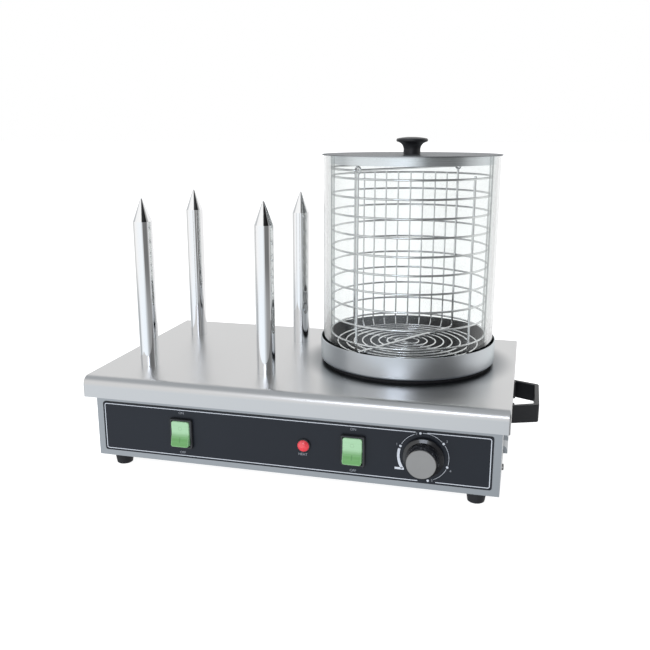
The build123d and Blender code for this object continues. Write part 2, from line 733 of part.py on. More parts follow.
def pan_heating():
    """Ring element, clamped to the pan's underside by a plate and nuts."""
    ring_z = pan_under - heater_tube_r
    ends = [around(heater_ring_r, a, ring_z) for a in heater_end_angles]
    section = Plane(origin=ends[1], z_dir=(-sin(radians(heater_end_angles[1])),
                                           cos(radians(heater_end_angles[1])), 0))
    turn = 360 + heater_end_angles[0] - heater_end_angles[1]
    element = revolve(section * Circle(heater_tube_r), Axis((pan_x, pan_y, 0), (0, 0, 1)), turn)
    for x, y, z in ends:
        element += rod(heater_tube_r, (x, y, ring_z - heater_tail), (x, y, ring_z))
        element += Pos(x, y, z) * Sphere(heater_tube_r)
    plate_top = ring_z - heater_tube_r
    plate_low = plate_top - heater_plate_t
    plate = pipe(heater_ring_r + 10, heater_plate_hole_r, (pan_x, pan_y, plate_low),
                 (pan_x, pan_y, plate_top))
    for x, y, z in ends:
        plate -= rod(heater_tube_r + slip, (x, y, plate_low), (x, y, plate_top))
    nuts = []
    for x, y in heater_stud_places():
        plate -= rod(stud_r + fit_gap, (x, y, plate_low), (x, y, plate_top))
        nut_low = plate_low - stud_nut_h
        nuts.append(hexagon_bar(stud_nut_flats, (x, y, nut_low), (x, y, plate_low))
                    - rod(stud_r + fit_gap / 2, (x, y, nut_low), (x, y, plate_low)))
    parts["pan_heater"] = element
    parts["heater_plate"] = plate
    parts["heater_nuts"] = group(nuts)


def sensor():
    """Thermostat's bulb under the pan, and the fine tube that leads to it."""
    bulb_y, bulb_z = pan_y - pan_r + bulb_inset, pan_under - bulb_r
    x0, x1 = pan_x - bulb_l / 2, pan_x + bulb_l / 2
    parts["sensor_bulb"] = rod(bulb_r, (x0, bulb_y, bulb_z), (x1, bulb_y, bulb_z))
    start_y = wall_front + sheet + thermostat_depth
    route = [(dial_x, start_y, panel_z), (dial_x, start_y + 18, panel_z),
             (dial_x + 14, start_y + 30, (panel_z + bulb_z) / 2),
             (dial_x + 6, bulb_y, bulb_z), (x1, bulb_y, bulb_z)]
    parts["capillary_tube"] = bent_wire(route, capillary_r, capillary_bend)


# ---------------------------------------------------------------- glass, basket, lid
def basket_rings():
    """Evenly spaced rings from the top down, and the lowest one where the floor needs it."""
    low_z = floor_ring_z + low_ring_rise
    count = 1 + int((top_ring_z - low_z) / ring_pitch - 0.5)
    heights = [top_ring_z - i * ring_pitch for i in range(count)] + [low_z]
    return group([hoop(basket_r, ring_wire_r, z) for z in heights])


def main_wire(angle, cross_z, top_z):
    """Upright, floor bar and opposite upright, bent from one wire."""
    points = [around(main_r, angle, top_z), around(main_r, angle, cross_z),
              around(main_r, angle + 180, cross_z), around(main_r, angle + 180, top_z)]
    return bent_wire(points, main_wire_r, wire_bend)


def basket_uprights():
    """The wire with the bail's eyes lies over the floor rings, the other under."""
    lift = ring_wire_r + main_wire_r
    over = main_wire(main_wire_angle, floor_ring_z + lift, bail_z - eye_r)
    for a in (main_wire_angle, main_wire_angle + 180):
        x, y, z = around(main_r, a, bail_z)
        eye = Plane(origin=(x, y, z), z_dir=(cos(radians(a)), sin(radians(a)), 0)) * Torus(
            eye_r, bail_wire_r)
        over += eye
    under = main_wire(main_wire_angle + 90, floor_ring_z - lift, top_ring_z + wire_end)
    return group([over, under])


def basket_back_wires():
    """Fine uprights on one side, their feet turned in to the floor's outer ring."""
    low_r = floor_ring_r + ring_wire_r + thin_wire_r
    knee_z = floor_ring_z + thin_knee
    wires = []
    for turn in thin_wire_turns:
        a = main_wire_angle + turn
        points = [around(thin_r, a, top_ring_z + 1), around(thin_r, a, knee_z),
                  around(low_r, a, floor_ring_z)]
        wires.append(bent_wire(points, thin_wire_r, thin_wire_bend))
    return group(wires)


def basket_floor():
    """Level rings on the floor bars."""
    count = 1 + int((floor_ring_r - floor_ring_min_r) / floor_ring_pitch)
    radii = [floor_ring_r - i * floor_ring_pitch for i in range(count)]
    return group([hoop(r, ring_wire_r, floor_ring_z) for r in radii])


def basket_legs():
    """Four short legs from the floor bars down to the pan's floor."""
    lift = ring_wire_r + 2 * main_wire_r
    legs = []
    for i in range(4):
        a = main_wire_angle + 90 * i
        top_z = floor_ring_z + ring_wire_r if i % 2 == 0 else floor_ring_z - lift
        legs.append(rod(main_wire_r, around(leg_r, a, pan_floor_z), around(leg_r, a, top_z)))
    return group(legs)


def bail():
    """D-shaped lifting handle: a straight rod through both eyes and a half
    hoop, folded down to one side."""
    along = Vector(cos(radians(main_wire_angle)), sin(radians(main_wire_angle)), 0)
    side = Vector(-along.Y, along.X, 0)
    centre = Vector(pan_x, pan_y, bail_z)

    def at(u, v):
        return centre + along * u + side * v

    def bow(mid, start, heading, degrees):
        """Wire bent round an upright axis through mid."""
        section = Plane(origin=start, z_dir=heading) * Circle(bail_wire_r)
        return revolve(section, Axis(mid, (0, 0, 1)), degrees)

    reach = sqrt((bail_r - bail_corner) ** 2 - bail_corner ** 2)
    lean = Vector(reach, bail_corner, 0)
    turn = 90 + lean.get_angle(Vector(1, 0, 0))
    shape = rod(bail_wire_r, tuple(at(-reach, 0)), tuple(at(reach, 0)))
    shape += bow(at(reach, bail_corner), at(reach, 0), along, turn)
    shape += mirror(bow(at(reach, bail_corner), at(reach, 0), along, turn),
                    about=Plane(origin=centre, z_dir=along))
    grow = bail_r / (bail_r - bail_corner)
    begin = at(reach * grow, bail_corner * grow)
    outward = (begin - centre).normalized()
    heading = Vector(-outward.Y, outward.X, 0)
    sweep_angle = 180 - 2 * lean.get_angle(Vector(1, 0, 0))
    return shape + bow(centre, begin, heading, sweep_angle)


def lid():
    """Slightly domed disc with a ring under it that drops inside the glass."""
    half, flat_r = lid_r / 2, lid_r - lid_rim_w
    rim = glass_top + sheet
    top = ThreePointArc((0, 0, lid_crown), (half, 0, lid_crown - lid_rise / 4), (lid_r, 0, rim))
    under = ThreePointArc((flat_r, 0, glass_top), (half, 0, lid_crown - lid_rise / 4 - sheet),
                          (0, 0, lid_crown - sheet))
    outline = make_face([top, Polyline((lid_r, 0, rim), (lid_r, 0, glass_top), (flat_r, 0, glass_top)),
                         under, Line((0, 0, lid_crown - sheet), (0, 0, lid_crown))])
    disc = Pos(pan_x, pan_y, 0) * revolve(outline, Axis.Z)
    disc -= rod(lid_screw_r + fit_gap, (pan_x, pan_y, glass_top - 5), (pan_x, pan_y, lid_crown + 1))
    ring_out = glass_in - lid_skirt_gap
    parts["lid_disc"] = disc
    parts["lid_ring"] = pipe(ring_out, ring_out - pan_t, (pan_x, pan_y, glass_top - lid_skirt_h),
                             (pan_x, pan_y, glass_top))
    parts["lid_knob"] = Pos(pan_x, pan_y, lid_crown) * lid_knob()
    head_top = lid_crown - sheet
    head_low = head_top - lid_screw_head_h
    parts["lid_screw"] = (rod(lid_screw_head_r, (pan_x, pan_y, head_low), (pan_x, pan_y, head_top))
                          + rod(lid_screw_r, (pan_x, pan_y, head_top),
                                (pan_x, pan_y, lid_crown + lid_screw_grip)))


def lid_knob():
    """Flared plastic knob with a blind hole for its screw."""
    neck, head, high = lid_knob_neck_r, lid_knob_head_r, lid_knob_h
    under_r, crown_r, flat_r = head - 1.0, head - 2.0, 2.0
    flare_z, lip_z, top_z = high * 0.25, high * 0.72, high * 0.92
    flare = ThreePointArc((neck, 0, flare_z),
                          (neck + (under_r - neck) * 0.3, 0, flare_z + (lip_z - flare_z) * 0.68),
                          (under_r, 0, lip_z))
    lip = ThreePointArc((under_r, 0, lip_z), (head, 0, (lip_z + top_z) / 2), (crown_r, 0, top_z))
    dome = ThreePointArc((crown_r, 0, top_z), (head / 2, 0, high * 0.98), (flat_r, 0, high))
    hole_top = lid_screw_grip + 1.0
    profile = make_face([
        Polyline((lid_screw_r, 0, 0), (neck, 0, 0), (neck, 0, flare_z)), flare, lip, dome,
        Polyline((flat_r, 0, high), (0, 0, high), (0, 0, hole_top), (lid_screw_r, 0, hole_top),
                 (lid_screw_r, 0, 0))])
    return revolve(profile, Axis.Z)


# ---------------------------------------------------------------- mains inlet
def mains_inlet():
    """Cable gland through the back wall, its nut, and the terminal block."""
    def at(y):
        return (gland_x, y, gland_z)

    nose = wall_back + gland_out
    flange = wall_back + gland_flange_t
    hexagon = flange + gland_hex_h
    body = rod(gland_flange_r, at(wall_back), at(flange))
    body += hexagon_bar(gland_flats, at(flange), at(hexagon))
    dome = rod(gland_dome_r, at(hexagon), at(nose))
    body += fillet(dome.edges().sort_by(Axis.Y)[-1], gland_dome_edge)
    body += rod(gland_thread_r, at(wall_back - gland_in), at(wall_back))
    body -= rod(cable_r, at(wall_back - gland_in - 1), at(nose + 1))
    nut_y = wall_back - sheet
    parts["cable_gland"] = body
    nut_front = nut_y - gland_nut_h
    parts["gland_nut"] = (hexagon_bar(gland_flats, at(nut_front), at(nut_y))
                          - rod(gland_thread_r + fit_gap / 2, at(nut_front), at(nut_y)))
    floor, y1 = foot_h + sheet, wall_back - terminal_in
    x1 = gland_x - terminal_in
    x0, y0 = x1 - terminal_ways * terminal_pitch, y1 - terminal_w
    block_body = block(x0, x1, y0, y1, floor, floor + terminal_h)
    for i in range(terminal_ways):
        x = x0 + terminal_pitch * (i + 0.5)
        block_body -= rod(terminal_hole_r, (x, (y0 + y1) / 2, floor + terminal_h / 2),
                          (x, (y0 + y1) / 2, floor + terminal_h + 1))
    parts["terminal_block"] = block_body


# ---------------------------------------------------------------- build and write
parts["deck"] = deck()
parts["front_wall"] = front_wall()
parts["back_wall"] = back_wall()
parts["right_wall"] = side_wall()
parts["left_wall"] = mirrored(parts["right_wall"])
parts["base_plate"] = base_plate()
for label, (x, y) in zip(("front_left", "front_right", "back_left", "back_right"), foot_places()):
    parts["foot_" + label] = foot(x, y)
casing_screws()
parts["right_handle"] = side_handle()
parts["left_handle"] = mirrored(parts["right_handle"])
parts["control_panel"] = control_panel()
for label, x in zip(("left", "right"), switch_x):
    parts[label + "_switch_body"] = switch_body(x)
    parts[label + "_switch_rocker"] = rocker(x)
lamp()
thermostat()
for label, (x, y) in zip(("front_left", "front_right", "back_left", "back_right"), spike_places()):
    parts["spike_" + label] = spike(x, y)
spike_fittings()
parts["glass_collar"] = collar()
parts["water_pan"] = water_pan()
parts["pan_gasket"] = gasket()
pan_heating()
sensor()
parts["glass_cylinder"] = pipe(glass_r, glass_in, (pan_x, pan_y, seat_z), (pan_x, pan_y, glass_top))
parts["basket_rings"] = basket_rings()
parts["basket_uprights"] = basket_uprights()
parts["basket_back_wires"] = basket_back_wires()
parts["basket_floor"] = basket_floor()
parts["basket_legs"] = basket_legs()
parts["basket_bail"] = bail()
lid()
mains_inlet()

os.makedirs("parts", exist_ok=True)
for name, shape in parts.items():
    export_step(shape, "parts/" + name + ".step")
print(len(parts), "nodes")
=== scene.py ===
import math
import random

import bpy
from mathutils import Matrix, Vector


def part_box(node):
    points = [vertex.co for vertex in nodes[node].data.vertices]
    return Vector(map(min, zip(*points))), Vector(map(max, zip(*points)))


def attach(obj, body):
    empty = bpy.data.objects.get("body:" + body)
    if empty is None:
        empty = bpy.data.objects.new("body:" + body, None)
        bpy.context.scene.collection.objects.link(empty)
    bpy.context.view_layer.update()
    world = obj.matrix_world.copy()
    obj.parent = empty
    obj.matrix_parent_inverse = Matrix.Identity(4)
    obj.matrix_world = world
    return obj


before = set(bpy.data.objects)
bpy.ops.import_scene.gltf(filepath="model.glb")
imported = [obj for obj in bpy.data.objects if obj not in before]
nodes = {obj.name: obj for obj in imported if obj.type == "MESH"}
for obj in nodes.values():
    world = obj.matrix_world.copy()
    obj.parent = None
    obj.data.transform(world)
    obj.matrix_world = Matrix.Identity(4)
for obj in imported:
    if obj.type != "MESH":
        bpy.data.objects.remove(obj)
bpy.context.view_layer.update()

MM = 0.001


# ------------------------------------------------------------------ places
def middle(node):
    low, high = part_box(node)
    return (low + high) / 2


def size(node):
    low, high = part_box(node)
    return high - low


panel_low, panel_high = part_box("control_panel")
panel_face = panel_low.y
dial = middle("thermostat_knob")
lamp = middle("lamp_lens")
pan = middle("water_pan")
collar_r = size("glass_collar").x / 2
INK = 0.05 * MM           # height of printed lines above the panel
MAIN_WIRE = 58.5          # degrees, first of the basket's four main uprights
FINE_WIRE = 10.0          # degrees between the fine uprights that follow it


# ------------------------------------------------------------------ finishes
class Link:
    """An output of a finish's node, with arithmetic."""

    def __init__(self, tree, socket):
        self.tree, self.socket = tree, socket

    def maths(self, operation, *others):
        return self.tree.node("ShaderNodeMath", {"operation": operation},
                              dict(enumerate((self,) + others)))

    def __add__(self, other):
        return self.maths("ADD", other)

    __radd__ = __add__

    def __mul__(self, other):
        return self.maths("MULTIPLY", other)

    __rmul__ = __mul__

    def __sub__(self, other):
        return self.maths("SUBTRACT", other)

    def __rsub__(self, other):
        return self.tree.node("ShaderNodeMath", {"operation": "SUBTRACT"}, {0: other, 1: self})

    def __truediv__(self, other):
        return self.maths("DIVIDE", other)

    def __pow__(self, other):
        return self.maths("POWER", other)

    def over(self, edge):
        return self.maths("GREATER_THAN", edge)

    def step(self, start, end):
        """0 before start and 1 after end, smooth between."""
        return self.tree.node("ShaderNodeMapRange", {"interpolation_type": "SMOOTHSTEP"},
                              {"Value": self, "From Min": start, "From Max": end})


class Tree:
    """A node tree that is filled one node at a time."""

    def __init__(self, tree):
        self.tree = tree

    def node(self, kind, settings, values, out=0):
        made = self.tree.nodes.new(kind)
        for name, value in settings.items():
            if name == "stops":
                ramp = made.color_ramp
                while len(ramp.elements) < len(value):
                    ramp.elements.new(1.0)
                for element, (place, colour) in zip(ramp.elements, value):
                    element.position = place
                    element.color = colour
            else:
                setattr(made, name, value)
        for name, value in values.items():
            if isinstance(value, Link):
                self.tree.links.new(value.socket, made.inputs[name])
            else:
                made.inputs[name].default_value = value
        return Link(self, made.outputs[out])

    def mix(self, share, first, second):
        """Colours mixed: first where share is 0."""
        return self.node("ShaderNodeMix", {"data_type": "RGBA"},
                         {0: share, 6: first, 7: second}, out=2)

    def vector(self, operation, first, second, out=0):
        return self.node("ShaderNodeVectorMath", {"operation": operation}, {0: first, 1: second},
                         out=out)

    def axes(self, vector):
        """The three numbers of a vector."""
        split = self.tree.nodes.new("ShaderNodeSeparateXYZ")
        self.tree.links.new(vector.socket, split.inputs[0])
        return [Link(self, socket) for socket in split.outputs]


class Finish(Tree):
    """A material with one Principled shader, fed by object places in metres."""

    def __init__(self, name, constants):
        self.material = bpy.data.materials.new(name)
        self.material.use_nodes = True
        super().__init__(self.material.node_tree)
        self.shader = self.tree.nodes["Principled BSDF"]
        for socket, value in constants.items():
            self.shader.inputs[socket].default_value = value
        self.place = self.node("ShaderNodeTexCoord", {}, {}, out=3)

    def noise(self, stretch, detail=3.0, rough=0.55, where=None):
        """Noise from 0 to 1, with so many grains per metre along each axis."""
        where = self.vector("MULTIPLY", where or self.place, stretch)
        return self.node("ShaderNodeTexNoise", {},
                         {"Vector": where, "Scale": 1.0, "Detail": detail, "Roughness": rough})

    def feed(self, socket, value):
        self.tree.links.new(value.socket, self.shader.inputs[socket])

    def bump(self, height, distance, strength=0.5):
        self.feed("Normal", self.node("ShaderNodeBump", {}, {
            "Height": height, "Distance": distance, "Strength": strength}))

    def tints(self, share, first, second):
        self.feed("Base Color", self.mix(share, first + (1,), second + (1,)))


def grey(value, cast=0.0):
    """A neutral colour, a little bluer with cast."""
    return (value * (1 - cast), value, value * (1 + cast))


def brushed(name, light, rough, cast=0.0, near=None):
    """Brushed sheet: fine streaks from side to side, faint uneven patches, and, given a
    radius near, painted shade in a soft dark ring round the pan from that radius outwards."""
    spread, stains = 0.07, 0.05
    finish = Finish(name, {"Metallic": 1.0})
    streak = finish.noise((5, 900, 900), detail=4.0, rough=0.7)
    patch = finish.noise((9, 9, 9), detail=2.0)
    colour = finish.mix(streak * 0.7 + patch * 0.3, grey(light * (1 - stains), cast) + (1,),
                        grey(light, cast) + (1,))
    if near:
        # painted shade: the sheet made darker and bluer round the pan, fading out 30 mm past
        # near
        x, y, _ = finish.axes(finish.vector("SUBTRACT", finish.place, (pan.x, pan.y, 0)))
        ring = (x * x + y * y) ** 0.5
        painted_shade = 1 - ring.step(near - 2 * MM, near + 30 * MM)
        colour = finish.mix(painted_shade * 0.85, colour, grey(light * 0.2, 0.12) + (1,))
    finish.feed("Base Color", colour)
    finish.feed("Roughness", rough - spread / 2 + streak * spread + patch * 0.03)
    finish.bump(streak, 4e-6, 0.35)
    return finish.material


def spun_steel(name, light, rough, cast, rings, inside=None, tint=1.0):
    """Spun sheet: fine rings about the pan's upright axis, so many per metre, on the flat
    and on the side. Painted shade, near black, inside a radius; tint dulls what it mirrors at a
    slant."""
    finish = Finish(name, {"Metallic": 1.0, "Specular Tint": grey(tint, 0.04) + (1,)})
    offset = finish.vector("SUBTRACT", finish.place, (pan.x, pan.y, 0))
    x, y, z = finish.axes(offset)
    radius = (x * x + y * y) ** 0.5
    across = radius + z
    ring = finish.node("ShaderNodeTexNoise", {"noise_dimensions": "1D"},
                       {"W": across * rings, "Scale": 1.0, "Detail": 3.0, "Roughness": 0.7})
    patch = finish.noise((7, 7, 7), detail=2.0)
    colour = finish.mix(ring * 0.7 + patch * 0.3, grey(light * 0.93, cast) + (1,),
                        grey(light, cast) + (1,))
    # painted shade: near black everywhere inside this radius, the collar's inner wall
    if inside:
        colour = finish.mix(1 - radius.over(inside), colour, grey(0.06, cast) + (1,))
    finish.feed("Base Color", colour)
    finish.feed("Roughness", rough - 0.03 + ring * 0.06 + patch * 0.03)
    finish.bump(ring, 4e-6, 0.3)
    return finish.material


def chrome(name, light, rough, grain=(300, 300, 20)):
    """Bright plated or polished steel with faint handling marks."""
    finish = Finish(name, {"Metallic": 1.0})
    smear = finish.noise((25, 25, 12), detail=3.0)
    scratch = finish.noise(grain, detail=2.0)
    finish.tints(smear, grey(light * 0.97, 0.005), grey(light, 0.005))
    finish.feed("Roughness", rough * 0.6 + smear.step(0.45, 0.8) * rough * 0.6
                + scratch.step(0.6, 0.8) * rough * 0.25)
    return finish.material


def moulded(name, dark, light, rough, coat=0.0, depth=1.2e-5):
    """Moulded plastic or rubber: fine grain and faint dull patches."""
    finish = Finish(name, {"Specular IOR Level": 0.5, "Coat Roughness": 0.08})
    patch = finish.noise((30, 30, 30), detail=3.0)
    fine = finish.noise((2500, 2500, 2500), detail=1.0)
    finish.tints(patch, dark, light)
    finish.feed("Roughness", rough - 0.05 + patch * 0.08 + fine * 0.04)
    if coat:
        finish.feed("Coat Weight", coat - 0.1 + patch * 0.2)
    finish.bump(fine, depth, 0.4)
    return finish.material


def panel_print():
    """Printed plate: dark field with a thin, still darker edge."""
    edge_w = 0.7 * MM
    finish = Finish("panel_print", {"Specular IOR Level": 0.4})
    x, _, z = finish.axes(finish.place)
    centre_z = (panel_low.z + panel_high.z) / 2
    half_w = (panel_high.x - panel_low.x) / 2 - edge_w
    half_h = (panel_high.z - panel_low.z) / 2 - edge_w
    side = x.maths("ABSOLUTE").over(half_w)
    top = (z - centre_z).maths("ABSOLUTE").over(half_h)
    edge = side.maths("MAXIMUM", top)
    fine = finish.noise((3000, 3000, 3000), detail=1.0)
    patch = finish.noise((12, 12, 12), detail=2.0)
    field = finish.mix(patch, (0.005, 0.008, 0.015, 1), (0.008, 0.012, 0.020, 1))
    finish.feed("Base Color", finish.mix(edge, field, (0.004, 0.005, 0.008, 1)))
    finish.feed("Roughness", 0.36 + patch * 0.06 + fine * 0.05)
    finish.bump(fine, 6e-6, 0.35)
    return finish.material


def green_rocker():
    """Lit translucent plastic, deeper green low down and paler above as a painted highlight,
    with a pale rim as a painted highlight, and a bar and a ring moulded in."""
    finish = Finish("rocker_green", {"Specular IOR Level": 0.55, "Coat Roughness": 0.06,
                                     "Emission Strength": 0.10})
    x, _, z = finish.axes(finish.place)
    low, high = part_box("left_switch_rocker")
    first, second = middle("left_switch_rocker").x, middle("right_switch_rocker").x
    off = ((x - (first + second) / 2).maths("ABSOLUTE") - (second - first) / 2).maths("ABSOLUTE")
    height = (z - low.z) / (high.z - low.z)
    band = finish.node("ShaderNodeTexNoise", {"noise_dimensions": "1D"},
                       {"W": z * 900.0, "Scale": 1.0, "Detail": 1.0})
    half_w = size("left_switch_rocker").x / 2
    # painted highlight: the green made paler along the sides, the bottom edge and towards the
    # top
    painted_rim_highlight = off.step(half_w - 3.4 * MM, half_w - 1.6 * MM)
    painted_rim_highlight = painted_rim_highlight.maths("MAXIMUM", 1 - height.step(0.03, 0.11))
    pale = (height.step(0.30, 0.62) * 0.8 + band * 0.22).maths("MAXIMUM", painted_rim_highlight * 0.5)
    colour = finish.mix(pale, (0.075, 0.29, 0.055, 1), (0.36, 0.60, 0.37, 1))
    bar = (1 - off.over(0.75 * MM)) * height.over(0.2) * (1 - height.over(0.38))
    rise = z - (low.z + 0.72 * (high.z - low.z))
    reach = (off * off + rise * rise) ** 0.5
    ring = reach.over(1.7 * MM) * (1 - reach.over(2.5 * MM))
    colour = finish.mix(bar * 0.5 + ring * 0.22, colour, (0.05, 0.17, 0.05, 1))
    finish.feed("Base Color", colour)
    finish.feed("Emission Color", colour)
    finish.feed("Roughness", 0.2 + band * 0.1)
    finish.feed("Coat Weight", 0.45 + band * 0.2)
    return finish.material


def spun_cap():
    """Spun disc on the dial knob: fine grooves round its middle."""
    finish = Finish("knob_cap_metal", {"Metallic": 1.0})
    x, _, z = finish.axes(finish.vector("SUBTRACT", finish.place, tuple(dial)))
    radius = (x * x + z * z) ** 0.5
    groove = finish.node("ShaderNodeTexNoise", {"noise_dimensions": "1D"},
                         {"W": radius * 5000.0, "Scale": 1.0, "Detail": 2.0})
    patch = finish.noise((60, 60, 60), detail=2.0)
    finish.tints(groove * 0.6 + patch * 0.4, grey(0.30, -0.03), grey(0.40, -0.03))
    finish.feed("Roughness", 0.26 + groove * 0.08)
    finish.bump(groove, 2.5e-5, 0.6)
    return finish.material


def red_lens():
    finish = Finish("lamp_red", {"Specular IOR Level": 0.6, "Emission Strength": 0.25,
                                 "Coat Roughness": 0.05})
    fine = finish.noise((900, 900, 900), detail=2.0)
    colour = finish.mix(fine, (0.60, 0.035, 0.05, 1), (0.72, 0.06, 0.08, 1))
    finish.feed("Base Color", colour)
    finish.feed("Emission Color", colour)
    finish.feed("Roughness", 0.16 + fine * 0.08)
    finish.feed("Coat Weight", 0.5 + fine * 0.2)
    return finish.material


def pan_coating():
    """Near black, with a fine fleck."""
    finish = Finish("pan_coating", {"Specular IOR Level": 0.3})
    fleck = finish.noise((1800, 1800, 1800), detail=1.0).step(0.62, 0.7)
    patch = finish.noise((20, 20, 20), detail=3.0)
    base = finish.mix(patch, (0.005, 0.007, 0.010, 1), (0.009, 0.012, 0.017, 1))
    finish.feed("Base Color", finish.mix(fleck * 0.25, base, (0.06, 0.065, 0.075, 1)))
    finish.feed("Roughness", 0.32 + patch * 0.14)
    finish.bump(fleck, 1e-5, 0.3)
    return finish.material


def clear_glass():
    """Thin clear wall: mirrors more at a slant, with a painted dark line near its edge."""
    finish = Finish("clear_glass", {"Metallic": 1.0})
    tree = finish.tree
    smear = finish.noise((14, 14, 5), detail=3.0)
    finish.tints(smear, (0.96, 0.97, 0.97), (0.99, 1.0, 1.0))
    finish.feed("Roughness", 0.01 + smear.step(0.55, 0.9) * 0.04)
    clear = finish.node("ShaderNodeBsdfTransparent", {}, {"Color": (0.950, 0.957, 0.955, 1)})
    # painted dark line: a darker see-through band just inside the outline, where the wall is
    # seen at a slant
    painted_dark_line = finish.node("ShaderNodeBsdfTransparent", {}, {"Color": (0.30, 0.33, 0.33, 1)})
    slant = finish.node("ShaderNodeLayerWeight", {}, {"Blend": 0.5}, out=1)
    line = slant.step(0.55, 0.58) - slant.step(0.59, 0.62)
    through = finish.node("ShaderNodeMixShader", {}, {0: line * 0.5, 1: clear, 2: painted_dark_line})
    share = slant.step(0.58, 0.70) * 0.5 + slant ** 3.0 * 0.25 + 0.045 + smear * 0.01
    mixed = finish.node("ShaderNodeMixShader", {}, {
        0: share, 1: through, 2: Link(finish, finish.shader.outputs[0])})
    tree.links.new(mixed.socket, tree.nodes["Material Output"].inputs["Surface"])
    return finish.material


def patchy_metal(name, grains, dark, light, rough, spread, edges=None):
    """Metal with uneven patches, so many per metre; edges sharpen them."""
    finish = Finish(name, {"Metallic": 1.0})
    patch = finish.noise((grains, grains, grains), detail=3.0)
    finish.tints(patch.step(*edges) if edges else patch, dark, light)
    finish.feed("Roughness", rough + patch * spread)
    return finish.material


def ink(name, dark, light):
    """Printed ink."""
    finish = Finish(name, {})
    fine = finish.noise((2500, 2500, 2500), detail=1.0)
    finish.tints(fine, dark, light)
    finish.feed("Roughness", 0.4 + fine * 0.1)
    return finish.material


BLACK, SOOT = (0.010, 0.011, 0.014), (0.018, 0.019, 0.022)
# the deck gets painted shade round the glass collar
steel = brushed("stainless_sheet", 0.645, 0.29, near=collar_r)
# painted shade: the housing walls are the deck's steel made darker, with a bluish cast for the
# light they mirror
shaded_housing = brushed("housing_sheet", 0.44, 0.33, cast=0.04)
collar_steel = spun_steel("collar_steel", 0.64, 0.30, 0.04, 3000.0, inside=collar_r - 0.8 * MM)
lid_steel = spun_steel("lid_steel", 0.36, 0.24, 0.04, 2500.0, tint=0.32)
ring_steel = spun_steel("lid_ring_steel", 0.93, 0.26, 0.03, 2500.0)
cap_steel = spun_cap()
panel = panel_print()
rubber = moulded("rubber_black", BLACK, SOOT, 0.62)
plastic = moulded("handle_plastic", BLACK, (0.022, 0.022, 0.024), 0.42, depth=2e-5)
gloss = moulded("knob_plastic", (0.008, 0.008, 0.010), (0.013, 0.014, 0.017), 0.22, coat=0.5)
switch_black = moulded("switch_black", BLACK, (0.016, 0.017, 0.02), 0.24, coat=0.4)
rocker_green = green_rocker()
lamp_red = red_lens()
spike_chrome = chrome("spike_chrome", 0.92, 0.06)
wire_chrome = chrome("basket_wire", 0.92, 0.08, grain=(500, 500, 500))
near_black_pan = pan_coating()
glass = clear_glass()
bolt = patchy_metal("zinc_fastener", 600, (0.50, 0.50, 0.49), (0.62, 0.61, 0.60), 0.3, 0.15)
heat_steel = patchy_metal("heater_steel", 80, (0.28, 0.22, 0.17), (0.45, 0.43, 0.40), 0.35, 0.2,
                          edges=(0.35, 0.7))
tube_copper = patchy_metal("copper_tube", 120, (0.60, 0.30, 0.18), (0.78, 0.45, 0.32), 0.25, 0.2)
cream = moulded("electrical_plastic", (0.62, 0.58, 0.48), (0.72, 0.68, 0.58), 0.5)
nylon = moulded("gland_plastic", BLACK, (0.03, 0.03, 0.032), 0.5)
silver = ink("silver_ink", (0.58, 0.62, 0.70), (0.70, 0.74, 0.80))
faint = ink("grey_ink", (0.26, 0.28, 0.32), (0.34, 0.36, 0.40))

FINISHES = {
    "deck": steel, "right_wall": shaded_housing, "left_wall": shaded_housing, "front_wall": shaded_housing,
    "back_wall": shaded_housing, "base_plate": shaded_housing, "glass_collar": collar_steel,
    "lid_disc": lid_steel, "lid_ring": ring_steel, "control_panel": panel,
    "thermostat_knob": gloss, "lid_knob": plastic, "knob_cap": cap_steel,
    "lamp_body": switch_black, "lamp_lens": lamp_red, "water_pan": near_black_pan,
    "pan_gasket": rubber, "glass_cylinder": glass,
    "left_handle": plastic, "right_handle": plastic,
    "left_switch_body": switch_black, "right_switch_body": switch_black,
    "left_switch_rocker": rocker_green, "right_switch_rocker": rocker_green,
    "pan_heater": heat_steel, "heater_plate": heat_steel, "spike_heaters": heat_steel,
    "sensor_bulb": tube_copper, "capillary_tube": tube_copper,
    "thermostat_body": cream, "terminal_block": cream,
    "cable_gland": nylon, "gland_nut": nylon,
}
STARTS = {"foot_front": rubber, "foot_back": rubber, "spike_front": spike_chrome,
          "spike_back": spike_chrome, "basket_": wire_chrome}
for name, thing in nodes.items():
    finish = FINISHES.get(name)
    for start, other in STARTS.items():
        if name.startswith(start):
            finish = other
    thing.data.materials.clear()
    thing.data.materials.append(finish or bolt)


# ------------------------------------------------------------------ mesh pieces
def piece(name, points, faces, body, slot, finish, crease=35.0):
    """A mesh piece in the row frame, riding on a body."""
    mesh = bpy.data.meshes.new(name)
    mesh.from_pydata([tuple(p) for p in points], [], faces)
    mesh.validate()
    mesh.shade_smooth()
    mesh.set_sharp_from_angle(angle=math.radians(crease))
    mesh.materials.append(finish)
    thing = bpy.data.objects.new(name, mesh)
    bpy.context.collection.objects.link(thing)
    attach(thing, body)
    return thing


def turned(profile, origin, up, steps=48):
    """Points and faces of a profile, (radius, height) pairs, turned about an axis."""
    up = Vector(up).normalized()
    side = up.orthogonal().normalized()
    ahead = up.cross(side)
    points, rings, faces = [], [], []
    for radius, height in profile:
        if radius == 0:
            rings.append([len(points)] * steps)
            points.append(Vector(origin) + up * height)
            continue
        rings.append([len(points) + i for i in range(steps)])
        for i in range(steps):
            a = 2 * math.pi * i / steps
            points.append(Vector(origin) + up * height
                          + (side * math.cos(a) + ahead * math.sin(a)) * radius)
    for lower, upper in zip(rings, rings[1:]):
        for i in range(steps):
            j = (i + 1) % steps
            corners = [lower[i], lower[j], upper[j], upper[i]]
            face = [c for k, c in enumerate(corners) if c != corners[k - 1]]
            if len(face) > 2:
                faces.append(face)
    return points, faces


def gathered(shapes):
    """Several shapes' points and faces as one."""
    points, faces = [], []
    for more_points, more_faces in shapes:
        start = len(points)
        points += more_points
        faces += [[start + i for i in face] for face in more_faces]
    return points, faces


